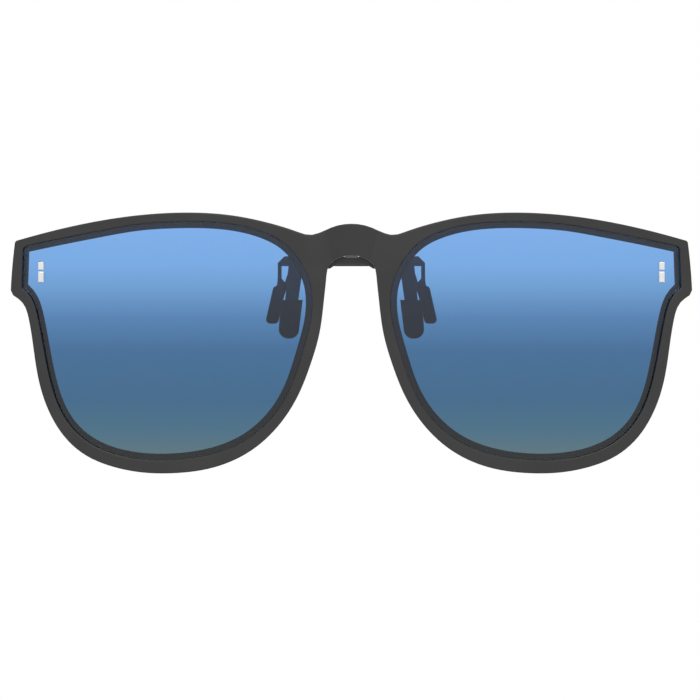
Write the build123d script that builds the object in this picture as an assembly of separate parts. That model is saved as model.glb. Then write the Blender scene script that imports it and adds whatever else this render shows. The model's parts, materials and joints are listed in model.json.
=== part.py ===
from build123d import *

import math
import os

os.makedirs("parts", exist_ok=True)

# Clip on flip lenses, in millimetres. +X is to the right seen from the front, the front faces -Y, +Z is up.
# The origin is on the symmetry plane, midway between the front and rear pads,
# level with the lower edges of the two claws' cross bars.

# ---- driving dimensions ----

# the front: one shell, curved like part of an upright drum
SHELL_RADIUS = 300.0
SHELL_FRONT_Y = -9.7  # foremost point of the shell
FRAME_THICKNESS = 3.2
LENS_THICKNESS = 1.1
LENS_DEPTH = 0.7  # how far the lens lies behind the rim's front
LENS_GAP = 0.04  # round the lens's edge
LIP_WIDTH = 1.35  # ledge that carries the lens
OUTLINE_STEPS = 50  # short straight runs in the brow line of one side

# the arched bridge: a hollow cone with an upright axis
ARCH_AXIS_Y = -3.0
ARCH_RADIUS_LOW = 7.55  # outside, at z = 0
ARCH_GROWTH = 0.15  # more radius for each millimetre upwards
ARCH_WALL = 2.4

# small bars on the outer corner of each lens
STUD_X = 65.7
STUD_WIDTH = 1.25
STUD_SPANS = {"upper": (-0.8, 0.95), "lower": (-3.5, -1.15)}
STUD_PROUD = 0.5
STUD_SUNK = 0.5

# flip hinge
HINGE_Y = -4.2
HINGE_Z = 3.2
KNUCKLE_RADIUS = 1.5
FLIP_PIN_RADIUS = 0.6
PIN_HEAD_RADIUS = 0.95
PIN_HEAD_HEIGHT = 0.35
RUNNING_GAP = 0.03
BASE_KNUCKLE_HALF = 1.3
WASHER_THICKNESS = 0.3
WASHER_RADIUS = 1.35
SIDE_GAP = 0.05
BRACKET_KNUCKLE_END = 3.2
BRACKET_FRONT_Y = -5.5
BRACKET_THICKNESS = 0.7
BRACKET_HALF_WIDTH = 9.4
BRACKET_BOTTOM = 1.7
BRACKET_TOP = 5.9
BOSS_FROM_X = 5.7
SCREW_X = 7.6
SCREW_Z = 3.8
SCREW_RADIUS = 0.65
SCREW_LENGTH = 2.0
SCREW_HEAD_RADIUS = 1.2
SCREW_HEAD_HEIGHT = 0.6

# jaw
JAW_GAP = 2.1  # between the front and rear pads at rest
PLATE_THICKNESS = 0.7
PAD_SKIN = 0.6  # rubber on the side away from the gap
PAD_FACE = 0.75  # rubber on the gripping side
JAW_PIN_Y = 0.35
JAW_PIN_Z = 2.4
JAW_PIN_RADIUS = 0.5
JAW_KNUCKLE_RADIUS = 0.95
EAR_FROM_X = 2.95
EAR_TO_X = 3.95
CLAW_KNUCKLE_FROM_X = 1.8
CLAW_KNUCKLE_TO_X = 2.85
ROOF_BOTTOM = 1.9
ROOF_TOP = 2.7
ROOF_END_Y = -0.85
SPRING_WIRE_RADIUS = 0.16
SPRING_COIL_RADIUS = 0.72
SPRING_TURNS = 6
SPRING_PITCH = 0.4

# thumb tab
TAB_FOOT_Z = 3.2
TAB_LENGTH = 4.9
TAB_LEAN = 40.0  # degrees back from upright
TAB_HALF_WIDTH = 3.6
TAB_COVER = 0.55

GAP_FRONT_Y = -JAW_GAP / 2
GAP_REAR_Y = JAW_GAP / 2
FRONT_PLATE_Y = GAP_FRONT_Y - PAD_FACE  # its rear side
REAR_PLATE_Y = GAP_REAR_Y + PAD_FACE  # its front side
SIDES = ("left", "right")


# ---- helpers ----


def slab(sketch, y_front, y_rear):
    """A drawing in the upright XZ plane, made solid between two depths."""
    return extrude(Plane.XZ.offset(-y_rear) * sketch, amount=y_rear - y_front)


def brick(x, y, z):
    """A box from three (low, high) pairs."""
    size = [high - low for low, high in (x, y, z)]
    middle = [(high + low) / 2 for low, high in (x, y, z)]
    return Pos(*middle) * Box(*size)


def rod(x_low, x_high, y, z, radius):
    """A cylinder along X."""
    return Pos((x_low + x_high) / 2, y, z) * Rot(0, 90, 0) * Cylinder(radius, x_high - x_low)


def stud_rod(x, y_low, y_high, z, radius):
    """A cylinder along Y."""
    return Pos(x, (y_low + y_high) / 2, z) * Rot(90, 0, 0) * Cylinder(radius, y_high - y_low)


def both(solid):
    """The solid and its mirror image across the symmetry plane."""
    return solid + mirror(solid, about=Plane.YZ)


def side_copy(solid, side):
    """A part drawn on the right, or its mirror image for the left."""
    return solid if side == "right" else mirror(solid, about=Plane.YZ)


def curved_slice(front_depth, rear_depth):
    """A slice of the shell between two depths behind its front, wider and taller than the frame."""
    half = 78.0
    arcs = []
    for depth in (front_depth, rear_depth):
        end_y = shell_y(half, depth)
        arcs.append(ThreePointArc((-half, end_y), (0, SHELL_FRONT_Y + depth), (half, end_y)))
    front, rear = arcs
    face = make_face([front, Line(front @ 1, rear @ 1), rear, Line(rear @ 0, front @ 0)])
    return Pos(0, 0, -56) * extrude(face, amount=80)


def shell_y(x, depth=0.0):
    """Where the shell's surface of that depth lies at x."""
    rise = math.sqrt((SHELL_RADIUS - depth) ** 2 - x**2)
    return SHELL_FRONT_Y + SHELL_RADIUS - rise


# ---- outlines ----


def traced(curve, count):
    """Evenly spaced points along a curve, without its last one."""
    return [((curve @ (i / count)).X, (curve @ (i / count)).Y) for i in range(count)]


def frame_outline():
    """The whole front seen straight on: brow line, ends, rims and bridge."""
    brow = [(0, 8.72), (1.4, 8.64), (3.8, 8.11), (6.3, 7.05), (8.8, 6.42), (11.3, 7.07), (17.6, 9.02), (25.2, 10.56)]
    brow += [(34.6, 11.17), (44.1, 10.72), (55.4, 9.1), (63.0, 7.46), (70.6, 5.46)]
    end_upper = [(70.6, 5.46), (71.15, 5.2), (71.35, 4.6)]
    end_lower = [(71.35, 4.6), (71.85, 0.0), (72.2, -5.1)]
    outer = [(72.2, -5.1), (71.8, -6.1), (70.5, -7.0), (69.0, -8.9), (68.4, -10.9), (67.8, -14.1), (66.8, -21.0)]
    outer += [(65.8, -25.8), (63.9, -31.0), (60.8, -36.0), (56.4, -39.9), (51.2, -42.2), (44.0, -43.65)]
    outer += [(37.0, -43.75), (30.0, -42.8), (21.6, -39.3), (15.75, -34.2), (11.3, -27.5), (8.6, -20.8)]
    outer += [(6.7, -14.1), (5.8, -7.4), (5.3, -2.6), (4.56, 0.3), (2.65, 1.63), (1.3, 2.0), (0, 2.12)]
    points = traced(Spline(*brow), OUTLINE_STEPS)
    points += traced(Spline(*end_upper), 6) + traced(Spline(*end_lower), 6)
    points += traced(Spline(*outer), 2 * OUTLINE_STEPS)
    points.append((0, 2.12))
    mirrored = [(-x, z) for x, z in reversed(points[1:-1])]
    return make_face(Polyline(*points, *mirrored, close=True))


def recess_outline():
    """The lens's recess on the right side."""
    run = [(69.85, -4.0), (69.6, 3.2), (68.6, 4.35), (61.3, 5.85), (52.9, 7.45), (45.4, 8.7), (37.0, 9.25)]
    run += [(30.0, 9.2), (23.5, 8.45), (18.3, 6.95), (13.9, 4.5), (10.3, 0.0), (8.75, -3.6), (8.25, -7.4)]
    run += [(8.5, -11.2), (10.0, -17.3), (14.0, -28.1), (18.0, -33.4), (22.6, -37.0), (28.5, -39.5)]
    run += [(37.0, -40.95), (45.7, -40.7), (51.5, -39.3), (56.0, -37.0), (59.6, -33.6), (62.2, -29.1)]
    run += [(63.8, -24.1), (65.4, -16.2), (66.5, -10.6), (67.6, -7.2), (69.2, -5.1)]
    corner = traced(Spline(run[1], (69.35, 4.0), run[2]), 5)
    loop = traced(Spline(*run[2:]), 3 * OUTLINE_STEPS)
    last = traced(Spline(run[-1], (69.7, -4.75), run[0]), 5)
    return make_face(Polyline(*corner, *loop, *last, close=True))


# ---- the flip-up front ----


def arch_cone(inset):
    """The bridge's cone, a distance inside its outer surface, from z = -3 to z = 12."""
    low, high = -3.0, 12.0
    low_radius = ARCH_RADIUS_LOW + ARCH_GROWTH * low - inset
    high_radius = ARCH_RADIUS_LOW + ARCH_GROWTH * high - inset
    return Pos(0, ARCH_AXIS_Y, (low + high) / 2) * Cone(low_radius, high_radius, high - low)


def front_frame():
    """The moulded frame: a curved shell with the arched bridge, two lens recesses and two rear bosses."""
    blank = curved_slice(0, FRAME_THICKNESS)
    blank = blank + (arch_cone(0) & brick((-12, 12), (-16, -7.4), (-3, 12)))
    blank = blank - arch_cone(ARCH_WALL)
    boss_height = (BRACKET_BOTTOM + 0.1, BRACKET_TOP - 0.1)
    blank = blank + both(brick((BOSS_FROM_X, BRACKET_HALF_WIDTH), (-7.5, BRACKET_FRONT_Y), boss_height))
    hole = stud_rod(SCREW_X, BRACKET_FRONT_Y - SCREW_LENGTH, BRACKET_FRONT_Y + 1, SCREW_Z, SCREW_RADIUS)
    blank = blank - both(hole)
    frame = blank & slab(frame_outline(), -16, 6)
    recess = recess_outline()
    recess_space = slab(recess, -16, 6) & curved_slice(-3, LENS_DEPTH + LENS_THICKNESS)
    opening = slab(offset(recess, -LIP_WIDTH, kind=Kind.INTERSECTION), -16, 6)
    for cut in (recess_space, opening):
        frame = frame - cut
        frame = frame - mirror(cut, about=Plane.YZ)
    return frame


def stud_box(part, y_front, y_rear):
    """The space of one bar of the right lens between two depths."""
    low, high = STUD_SPANS[part]
    half = STUD_WIDTH / 2
    return brick((STUD_X - half, STUD_X + half), (y_front, y_rear), (low, high))


def lens():
    """The right lens: a curved slice that fills its recess, with pockets for the bars."""
    blank = slab(offset(recess_outline(), -LENS_GAP, kind=Kind.INTERSECTION), -16, 6)
    blank = blank & curved_slice(LENS_DEPTH, LENS_DEPTH + LENS_THICKNESS)
    for part in STUD_SPANS:
        blank = blank - stud_box(part, -16, stud_foot_y())
    return blank


def stud_foot_y():
    """The depth that the bars reach in the lens."""
    return shell_y(STUD_X, LENS_DEPTH) + STUD_SUNK


def stud(part):
    """One plain bar with softened edges at its front."""
    front = shell_y(STUD_X, LENS_DEPTH) - STUD_PROUD
    bar = stud_box(part, front, stud_foot_y())
    return chamfer(bar.faces().sort_by(Axis.Y)[0].edges(), 0.15)


def flip_bracket():
    """The hinge leaf: a plate on the bosses and two knuckles round the pin."""
    plate = brick(
        (-BRACKET_HALF_WIDTH, BRACKET_HALF_WIDTH),
        (BRACKET_FRONT_Y, BRACKET_FRONT_Y + BRACKET_THICKNESS),
        (BRACKET_BOTTOM, BRACKET_TOP),
    )
    plate = fillet(plate.edges().filter_by(Axis.Y), 0.8)
    start = BASE_KNUCKLE_HALF + WASHER_THICKNESS + 2 * SIDE_GAP
    notch = brick((-start, start), (-7, -2), (0, HINGE_Z + KNUCKLE_RADIUS + 0.2))
    knuckles = both(rod(start, BRACKET_KNUCKLE_END, HINGE_Y, HINGE_Z, KNUCKLE_RADIUS))
    leaf = (plate - notch) + knuckles
    leaf = leaf - rod(-BRACKET_KNUCKLE_END, BRACKET_KNUCKLE_END, HINGE_Y, HINGE_Z, FLIP_PIN_RADIUS)
    head_end = BRACKET_KNUCKLE_END + PIN_HEAD_HEIGHT + SIDE_GAP
    head_room = rod(BRACKET_KNUCKLE_END, head_end, HINGE_Y, HINGE_Z, PIN_HEAD_RADIUS + SIDE_GAP)
    hole = stud_rod(SCREW_X, BRACKET_FRONT_Y - 1, -2, SCREW_Z, SCREW_RADIUS)
    return leaf - both(head_room) - both(hole)


def bracket_screw():
    """The right screw: a slotted round head on a plain shank."""
    seat = BRACKET_FRONT_Y + BRACKET_THICKNESS
    shank = stud_rod(SCREW_X, BRACKET_FRONT_Y - SCREW_LENGTH + 0.2, seat, SCREW_Z, SCREW_RADIUS)
    head = stud_rod(SCREW_X, seat, seat + SCREW_HEAD_HEIGHT, SCREW_Z, SCREW_HEAD_RADIUS)
    top = head.faces().sort_by(Axis.Y)[-1]
    head = chamfer(top.edges(), 0.2)
    slot = brick((SCREW_X - 2, SCREW_X + 2), (seat + 0.3, seat + 2), (SCREW_Z - 0.15, SCREW_Z + 0.15))
    return (shank + head) - slot


def flip_pin():
    """The flip hinge's pin with a low head at each end."""
    pin = rod(-BRACKET_KNUCKLE_END, BRACKET_KNUCKLE_END, HINGE_Y, HINGE_Z, FLIP_PIN_RADIUS)
    head_end = BRACKET_KNUCKLE_END + PIN_HEAD_HEIGHT
    head = rod(BRACKET_KNUCKLE_END, head_end, HINGE_Y, HINGE_Z, PIN_HEAD_RADIUS)
    return pin + both(head)


def friction_washer():
    """The right washer between the two leaves' knuckles."""
    start = BASE_KNUCKLE_HALF + SIDE_GAP
    ring = rod(start, start + WASHER_THICKNESS, HINGE_Y, HINGE_Z, WASHER_RADIUS)
    return ring - rod(start - 1, start + 1, HINGE_Y, HINGE_Z, FLIP_PIN_RADIUS)


# ---- the clip base ----


def front_arm_outline():
    """The right half of the front claw: cross bar, then an arm down into its pad."""
    run = [(0, ROOF_TOP), (4.2, ROOF_TOP), (5.0, 1.9), (12.4, 1.9), (13.2, 0.9), (14.0, -7.1), (14.1, -13.2)]
    run += [(11.9, -13.2), (11.2, -7.1), (10.3, -0.6), (4.6, -0.6), (3.2, 0.3), (0, 0.3)]
    half = make_face(Polyline(*run, close=True))
    corners = [v for v in half.vertices() if v.X > 0.1]
    return fillet(corners, 0.35)


def clip_base():
    """The front claw with the flip hinge's middle knuckle, a roof over the lens and the jaw's two ears."""
    outline = front_arm_outline()
    plate = slab(outline + mirror(outline, about=Plane.YZ), FRONT_PLATE_Y - PLATE_THICKNESS, FRONT_PLATE_Y)
    knuckle = rod(-BASE_KNUCKLE_HALF, BASE_KNUCKLE_HALF, HINGE_Y, HINGE_Z, KNUCKLE_RADIUS)
    tongue_height = (HINGE_Z - KNUCKLE_RADIUS, ROOF_TOP - 0.2)
    tongue = brick((-BASE_KNUCKLE_HALF, BASE_KNUCKLE_HALF), (HINGE_Y, -2), tongue_height)
    roof = brick((-EAR_TO_X, EAR_TO_X), (FRONT_PLATE_Y - PLATE_THICKNESS, ROOF_END_Y), (ROOF_BOTTOM, ROOF_TOP))
    ear = rod(EAR_FROM_X, EAR_TO_X, JAW_PIN_Y, JAW_PIN_Z, JAW_KNUCKLE_RADIUS)
    ear_low = JAW_PIN_Z - JAW_KNUCKLE_RADIUS
    ear = ear + brick((EAR_FROM_X, EAR_TO_X), (FRONT_PLATE_Y, JAW_PIN_Y), (ear_low, ROOF_TOP))
    base = plate + knuckle + tongue + roof + both(ear)
    base = base - rod(-9, 9, JAW_PIN_Y, JAW_PIN_Z, JAW_PIN_RADIUS)
    return base - rod(-2, 2, HINGE_Y, HINGE_Z, FLIP_PIN_RADIUS + RUNNING_GAP)


def front_pad():
    """The right front pad: a rubber sleeve with a rounded lower end on the front arm."""
    run = [(10.3, -7.2), (14.9, -7.2), (15.5, -15.4), (11.3, -15.4)]
    face = make_face(Polyline(*run, close=True))
    face = fillet(face.vertices().sort_by(Axis.Y)[:2], 2.0)
    sleeve = slab(face, FRONT_PLATE_Y - PLATE_THICKNESS - PAD_SKIN, GAP_FRONT_Y)
    sleeve = chamfer(sleeve.faces().sort_by(Axis.Y)[0].edges(), 0.25)
    return sleeve - slab(front_arm_outline(), FRONT_PLATE_Y - PLATE_THICKNESS, FRONT_PLATE_Y)


def jaw_pin():
    """The jaw's pin through the ears, with a low head at each end."""
    pin = rod(-EAR_TO_X, EAR_TO_X, JAW_PIN_Y, JAW_PIN_Z, JAW_PIN_RADIUS)
    head = rod(EAR_TO_X, EAR_TO_X + 0.3, JAW_PIN_Y, JAW_PIN_Z, 0.8)
    return pin + both(head)


def jaw_spring():
    """The torsion spring on the jaw's pin, with one leg on the roof and one on the rear claw."""
    length = SPRING_TURNS * SPRING_PITCH
    coil = Helix(pitch=SPRING_PITCH, height=length, radius=SPRING_COIL_RADIUS)
    coil = Pos(-length / 2, JAW_PIN_Y, JAW_PIN_Z) * Rot(0, 90, 0) * coil
    wire = sweep(Plane(coil @ 0, z_dir=coil % 0) * Circle(SPRING_WIRE_RADIUS), path=coil)
    return wire


# ---- the rear jaw ----


def rear_claw_outline():
    """The right half of the rear claw: cross bar and a looped leg down into its pad."""
    run = [(0, TAB_FOOT_Z), (2.85, TAB_FOOT_Z), (2.85, 2.1), (14.2, 2.1), (15.6, 0.7), (15.65, -3.0)]
    run += [(16.9, -10.9), (15.7, -10.9), (13.3, -3.4), (12.1, -1.0), (11.6, 0), (0, 0)]
    half = make_face(Polyline(*run, close=True))
    corners = [v for v in half.vertices() if v.X > 0.1]
    half = fillet(corners, 0.3)
    window = make_face(Polyline((13.0, 0), (14.8, 0), (14.8, -2.6), (14.1, -3.4), close=True))
    return half - window


def tab_frame():
    """The upright plane of the thumb tab, leaning back from the claw's top."""
    return Pos(0, REAR_PLATE_Y + PLATE_THICKNESS / 2, TAB_FOOT_Z - 0.2) * Rot(-TAB_LEAN, 0, 0)


def rear_claw():
    """The rear claw with its two knuckles and the thumb tab."""
    outline = rear_claw_outline()
    plate = slab(outline + mirror(outline, about=Plane.YZ), REAR_PLATE_Y, REAR_PLATE_Y + PLATE_THICKNESS)
    knuckle = rod(CLAW_KNUCKLE_FROM_X, CLAW_KNUCKLE_TO_X, JAW_PIN_Y, JAW_PIN_Z, JAW_KNUCKLE_RADIUS)
    web_height = (JAW_PIN_Z - 0.6, JAW_PIN_Z + 0.6)
    web = brick((CLAW_KNUCKLE_FROM_X, CLAW_KNUCKLE_TO_X), (JAW_PIN_Y, REAR_PLATE_Y + 0.1), web_height)
    blade = Box(2 * 2.85, PLATE_THICKNESS, TAB_LENGTH, align=(Align.CENTER, Align.CENTER, Align.MIN))
    claw = plate + both(knuckle + web) + tab_frame() * blade
    return claw - rod(-9, 9, JAW_PIN_Y, JAW_PIN_Z, JAW_PIN_RADIUS + RUNNING_GAP)


def rear_pad():
    """The right rear pad: a rubber sleeve on the rear leg."""
    run = [(13.8, -4.2), (16.5, -4.2), (18.3, -12.2), (15.6, -12.2)]
    face = make_face(Polyline(*run, close=True))
    face = fillet(face.vertices(), 0.9)
    rear = REAR_PLATE_Y + PLATE_THICKNESS + PAD_SKIN
    sleeve = slab(face, GAP_REAR_Y, rear)
    sleeve = chamfer(sleeve.faces().sort_by(Axis.Y)[-1].edges(), 0.2)
    return sleeve - slab(rear_claw_outline(), REAR_PLATE_Y, REAR_PLATE_Y + PLATE_THICKNESS)


def thumb_tab_cover():
    """A soft cap over the thumb tab's end."""
    size = (2 * TAB_HALF_WIDTH, PLATE_THICKNESS + 2 * TAB_COVER, 3.4)
    cap = Pos(0, 0, TAB_LENGTH - 2.8) * Box(*size, align=(Align.CENTER, Align.CENTER, Align.MIN))
    cap = fillet(cap.edges(), 0.45)
    blade = Box(2 * 2.85, PLATE_THICKNESS, TAB_LENGTH, align=(Align.CENTER, Align.CENTER, Align.MIN))
    return tab_frame() * (cap - blade)


# ---- write every piece ----

pieces = {
    "front_frame": front_frame(),
    "flip_bracket": flip_bracket(),
    "flip_pin": flip_pin(),
    "clip_base": clip_base(),
    "jaw_pin": jaw_pin(),
    "jaw_spring": jaw_spring(),
    "rear_claw": rear_claw(),
    "thumb_tab_cover": thumb_tab_cover(),
}
paired = {
    "lens": lens(),
    "bracket_screw": bracket_screw(),
    "friction_washer": friction_washer(),
    "front_pad": front_pad(),
    "rear_pad": rear_pad(),
}
for part in STUD_SPANS:
    paired["stud_" + part] = stud(part)
for name, solid in paired.items():
    for side in SIDES:
        pieces[name + "_" + side] = side_copy(solid, side)
for name, solid in pieces.items():
    export_step(solid, "parts/" + name + ".step")
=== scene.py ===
import json
import math

import bpy
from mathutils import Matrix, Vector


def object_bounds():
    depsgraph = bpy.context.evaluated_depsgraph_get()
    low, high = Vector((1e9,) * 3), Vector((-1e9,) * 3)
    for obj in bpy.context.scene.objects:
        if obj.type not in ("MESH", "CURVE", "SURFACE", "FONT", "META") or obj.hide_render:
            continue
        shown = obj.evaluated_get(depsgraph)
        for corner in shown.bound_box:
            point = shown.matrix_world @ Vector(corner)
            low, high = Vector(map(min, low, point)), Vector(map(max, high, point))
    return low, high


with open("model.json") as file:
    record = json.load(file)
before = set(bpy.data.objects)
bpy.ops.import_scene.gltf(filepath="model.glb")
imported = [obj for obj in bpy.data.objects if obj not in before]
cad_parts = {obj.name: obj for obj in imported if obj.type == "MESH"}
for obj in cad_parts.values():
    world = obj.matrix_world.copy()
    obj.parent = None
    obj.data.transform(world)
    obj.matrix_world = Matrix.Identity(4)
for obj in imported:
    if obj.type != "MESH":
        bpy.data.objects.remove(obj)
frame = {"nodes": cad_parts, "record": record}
cad_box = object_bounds()

# Places and sizes are in metres in the model's own frame: +X right, the front faces -Y, +Z up.
VIEW_WIDTH = 0.147  # what the camera sees at the foremost point of the object
CAMERA_DISTANCE = 1.2
CAMERA_X = -0.0003
CAMERA_Z = -0.0178
SENSOR_WIDTH = 36.0
FLOOR_Z = -0.12
FLOOR_SIZE = 6
WHITE_STRENGTH = 1.0
SOFTBOX_PLACE = (0.0, -0.5, 0.6)
SOFTBOX_SIZE = 0.5
SOFTBOX_POWER = 3.0

# the tint seen against white, from the lens's lowest point to its highest, with painted shade: the blue
# tint is painted lighter at the top and darker and greyer towards the bottom, standing in for the shadow
# behind the lens and the light from above
LENS_BOTTOM = -0.041
LENS_TOP = 0.0095
LENS_TINT_AND_PAINTED_SHADE = {
    -0.0400: (92, 117, 126),
    -0.0350: (74, 112, 135),
    -0.0280: (62, 105, 140),
    -0.0179: (67, 110, 153),
    -0.0110: (84, 130, 179),
    -0.0044: (109, 159, 212),
    0.0006: (120, 171, 229),
    0.0074: (125, 175, 235),
}
LENS_SURFACE_SHARE = 0.02  # light that the lens's surface adds, taken off the tint
DARKEST_TINT = 0.005


# ---- helpers ----


def linear(shade):
    """A colour from 0 to 255 on a display, as linear light."""
    return [(c / 255 / 12.92) if c < 11 else ((c / 255 + 0.055) / 1.055) ** 2.4 for c in shade]


def add_node(tree, kind, **inputs):
    """A node with values for its input sockets, an underscore standing for a space."""
    node = tree.nodes.new(kind)
    for name, value in inputs.items():
        node.inputs[name.replace("_", " ")].default_value = value
    return node


def new_material(name, **sockets):
    """A material and its tree and Principled shader, with uniform numbers set on the shader's sockets."""
    material = bpy.data.materials.new(name)
    material.use_nodes = True
    shader = material.node_tree.nodes["Principled BSDF"]
    for socket, value in sockets.items():
        shader.inputs[socket.replace("_", " ")].default_value = value
    return material, material.node_tree, shader


# ---- the finish that every solid material shares ----


def make_surface_group():
    """Fine grain, patches of more and less gloss, a drift between two colours, and softened edges."""
    group = bpy.data.node_groups.new("worn_surface", "ShaderNodeTree")
    face = group.interface
    for name in ("Dark Colour", "Light Colour"):
        face.new_socket(name, in_out="INPUT", socket_type="NodeSocketColor")
    for name in ("Grain Scale", "Least Roughness", "Most Roughness", "Grain Height", "Edge Radius"):
        face.new_socket(name, in_out="INPUT", socket_type="NodeSocketFloat")
    face.new_socket("Colour", in_out="OUTPUT", socket_type="NodeSocketColor")
    face.new_socket("Roughness", in_out="OUTPUT", socket_type="NodeSocketFloat")
    face.new_socket("Normal", in_out="OUTPUT", socket_type="NodeSocketVector")
    given = group.nodes.new("NodeGroupInput")
    result = group.nodes.new("NodeGroupOutput")

    place = group.nodes.new("ShaderNodeTexCoord")
    grain = add_node(group, "ShaderNodeTexNoise", Detail=6)
    patches = add_node(group, "ShaderNodeTexNoise", Scale=90, Detail=4)
    gloss = add_node(group, "ShaderNodeMapRange", From_Min=0.3, From_Max=0.7)
    drift = add_node(group, "ShaderNodeMapRange", From_Min=0.35, From_Max=0.65)
    colour = group.nodes.new("ShaderNodeMix")
    colour.data_type = "RGBA"
    soft_edge = group.nodes.new("ShaderNodeBevel")
    raised = add_node(group, "ShaderNodeBump", Distance=0.00003)

    links = [
        (place.outputs["Object"], grain.inputs["Vector"]),
        (place.outputs["Object"], patches.inputs["Vector"]),
        (given.outputs["Grain Scale"], grain.inputs["Scale"]),
        (patches.outputs["Fac"], gloss.inputs["Value"]),
        (given.outputs["Least Roughness"], gloss.inputs["To Min"]),
        (given.outputs["Most Roughness"], gloss.inputs["To Max"]),
        (gloss.outputs["Result"], result.inputs["Roughness"]),
        (patches.outputs["Fac"], drift.inputs["Value"]),
        (drift.outputs["Result"], colour.inputs["Factor"]),
        (given.outputs["Dark Colour"], colour.inputs["A"]),
        (given.outputs["Light Colour"], colour.inputs["B"]),
        (colour.outputs["Result"], result.inputs["Colour"]),
        (given.outputs["Edge Radius"], soft_edge.inputs["Radius"]),
        (grain.outputs["Fac"], raised.inputs["Height"]),
        (given.outputs["Grain Height"], raised.inputs["Strength"]),
        (soft_edge.outputs["Normal"], raised.inputs["Normal"]),
        (raised.outputs["Normal"], result.inputs["Normal"]),
    ]
    for source, target in links:
        group.links.new(source, target)
    return group


def give_surface(tree, shader, dark, light, grain_scale, roughness, grain_height, edge_radius):
    """Places the shared surface group in a material with that material's own values."""
    surface = tree.nodes.new("ShaderNodeGroup")
    surface.node_tree = surface_group
    values = {
        "Dark Colour": (*dark, 1),
        "Light Colour": (*light, 1),
        "Grain Scale": grain_scale,
        "Least Roughness": roughness[0],
        "Most Roughness": roughness[1],
        "Grain Height": grain_height,
        "Edge Radius": edge_radius,
    }
    for name, value in values.items():
        surface.inputs[name].default_value = value
    tree.links.new(surface.outputs["Colour"], shader.inputs["Base Color"])
    tree.links.new(surface.outputs["Roughness"], shader.inputs["Roughness"])
    tree.links.new(surface.outputs["Normal"], shader.inputs["Normal"])


# ---- materials ----


def satin_black_plastic():
    material, tree, shader = new_material("satin_black_plastic", IOR=1.5)
    dark, light = (0.010, 0.010, 0.011), (0.014, 0.014, 0.015)
    give_surface(tree, shader, dark, light, 4200, (0.34, 0.42), 0.12, 0.0005)
    return material


def black_coated_steel():
    material, tree, shader = new_material("black_coated_steel", Coat_Weight=0.4, Coat_Roughness=0.2)
    dark, light = (0.012, 0.012, 0.013), (0.02, 0.02, 0.021)
    give_surface(tree, shader, dark, light, 2600, (0.3, 0.42), 0.15, 0.00015)
    return material


def bright_steel(name, roughness):
    material, tree, shader = new_material(name, Metallic=1.0)
    dark, light = (0.72, 0.72, 0.73), (0.85, 0.85, 0.86)
    give_surface(tree, shader, dark, light, 3000, roughness, 0.1, 0.0001)
    return material


def dark_rubber():
    material, tree, shader = new_material("dark_rubber", IOR=1.45)
    dark, light = (0.016, 0.016, 0.017), (0.026, 0.026, 0.027)
    give_surface(tree, shader, dark, light, 5000, (0.5, 0.62), 0.25, 0.0003)
    return material


def blue_lens_with_painted_shade():
    """Blue tint with painted shade, light at the top and greyer at the bottom where the shadow behind the
    lens is painted in, with faint smudges in its gloss.
    """
    material, tree, shader = new_material("blue_lens_with_painted_shade", IOR=1.5, Transmission_Weight=1.0)
    place = tree.nodes.new("ShaderNodeTexCoord")
    axes = tree.nodes.new("ShaderNodeSeparateXYZ")
    height = add_node(tree, "ShaderNodeMapRange", From_Min=LENS_BOTTOM, From_Max=LENS_TOP)
    ramp = tree.nodes.new("ShaderNodeValToRGB")
    elements = ramp.color_ramp.elements
    while len(elements) < len(LENS_TINT_AND_PAINTED_SHADE):
        elements.new(0.5)
    # painted shade: these stops make the lens colour lighter towards the top and darker towards the
    # bottom
    for element, (z, shade) in zip(elements, LENS_TINT_AND_PAINTED_SHADE.items()):
        element.position = (z - LENS_BOTTOM) / (LENS_TOP - LENS_BOTTOM)
        element.color = (*[max(c - LENS_SURFACE_SHARE, DARKEST_TINT) for c in linear(shade)], 1)
    smudges = add_node(tree, "ShaderNodeTexNoise", Scale=60)
    gloss = add_node(tree, "ShaderNodeMapRange", To_Max=0.03)
    links = [
        (place.outputs["Object"], axes.inputs["Vector"]),
        (axes.outputs["Z"], height.inputs["Value"]),
        (height.outputs["Result"], ramp.inputs["Fac"]),
        (ramp.outputs["Color"], shader.inputs["Base Color"]),
        (place.outputs["Object"], smudges.inputs["Vector"]),
        (smudges.outputs["Fac"], gloss.inputs["Value"]),
        (gloss.outputs["Result"], shader.inputs["Roughness"]),
    ]
    for source, target in links:
        tree.links.new(source, target)
    return material


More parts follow.
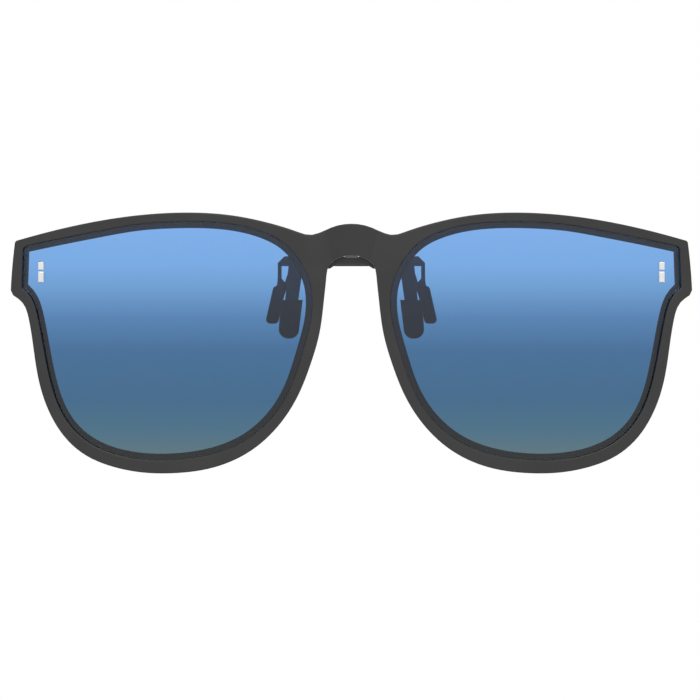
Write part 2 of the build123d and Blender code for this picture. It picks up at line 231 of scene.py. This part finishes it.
def dress_nodes():
    """Gives each CAD node the material of its record slot."""
    finishes = {
        "frame_plastic": satin_black_plastic(),
        "coated_steel": black_coated_steel(),
        "screw_steel": bright_steel("bright_screw_steel", (0.25, 0.4)),
        "stud_metal": bright_steel("polished_bar_metal", (0.12, 0.22)),
        "pad_rubber": dark_rubber(),
        "lens_tint": blue_lens_with_painted_shade(),
    }
    for subpart in frame["record"]["subparts"]:
        mesh = frame["nodes"][subpart["node"]].data
        mesh.materials.clear()
        mesh.materials.append(finishes[subpart["material_slot"]])


# ---- surroundings ----


def add_white_floor():
    """A floor below the object that looks plain white."""
    material = bpy.data.materials.new("white_stage")
    material.use_nodes = True
    tree = material.node_tree
    tree.nodes.clear()
    output = tree.nodes.new("ShaderNodeOutputMaterial")
    glow = add_node(tree, "ShaderNodeEmission", Strength=WHITE_STRENGTH)
    tree.links.new(glow.outputs["Emission"], output.inputs["Surface"])
    bpy.ops.mesh.primitive_plane_add(size=FLOOR_SIZE, location=(0, 0, FLOOR_Z))
    floor = bpy.context.object
    floor.name = "floor"
    floor.data.materials.append(material)


def add_white_world():
    """Even white light from all sides."""
    world = bpy.data.worlds.new("white_world")
    bpy.context.scene.world = world
    world.use_nodes = True
    background = world.node_tree.nodes["Background"]
    background.inputs["Color"].default_value = (1, 1, 1, 1)
    background.inputs["Strength"].default_value = WHITE_STRENGTH


def add_softbox():
    """A square soft light above and in front, turned towards the object."""
    data = bpy.data.lights.new("top_softbox", "AREA")
    data.size = SOFTBOX_SIZE
    data.energy = SOFTBOX_POWER
    light = bpy.data.objects.new("top_softbox", data)
    bpy.context.collection.objects.link(light)
    light.location = SOFTBOX_PLACE
    light.rotation_euler = (-light.location).to_track_quat("-Z", "Y").to_euler()


def add_camera():
    """A long lens that looks straight along +Y at the middle of the front."""
    foremost_y = cad_box[0][1]
    data = bpy.data.cameras.new("camera")
    data.sensor_width = SENSOR_WIDTH
    data.lens = SENSOR_WIDTH * CAMERA_DISTANCE / VIEW_WIDTH
    camera = bpy.data.objects.new("camera", data)
    bpy.context.collection.objects.link(camera)
    camera.location = (CAMERA_X, foremost_y - CAMERA_DISTANCE, CAMERA_Z)
    camera.rotation_euler = (math.pi / 2, 0, 0)
    bpy.context.scene.camera = camera


surface_group = make_surface_group()
dress_nodes()
add_white_floor()
add_white_world()
add_softbox()
add_camera()
bpy.context.scene.view_settings.view_transform = "Standard"
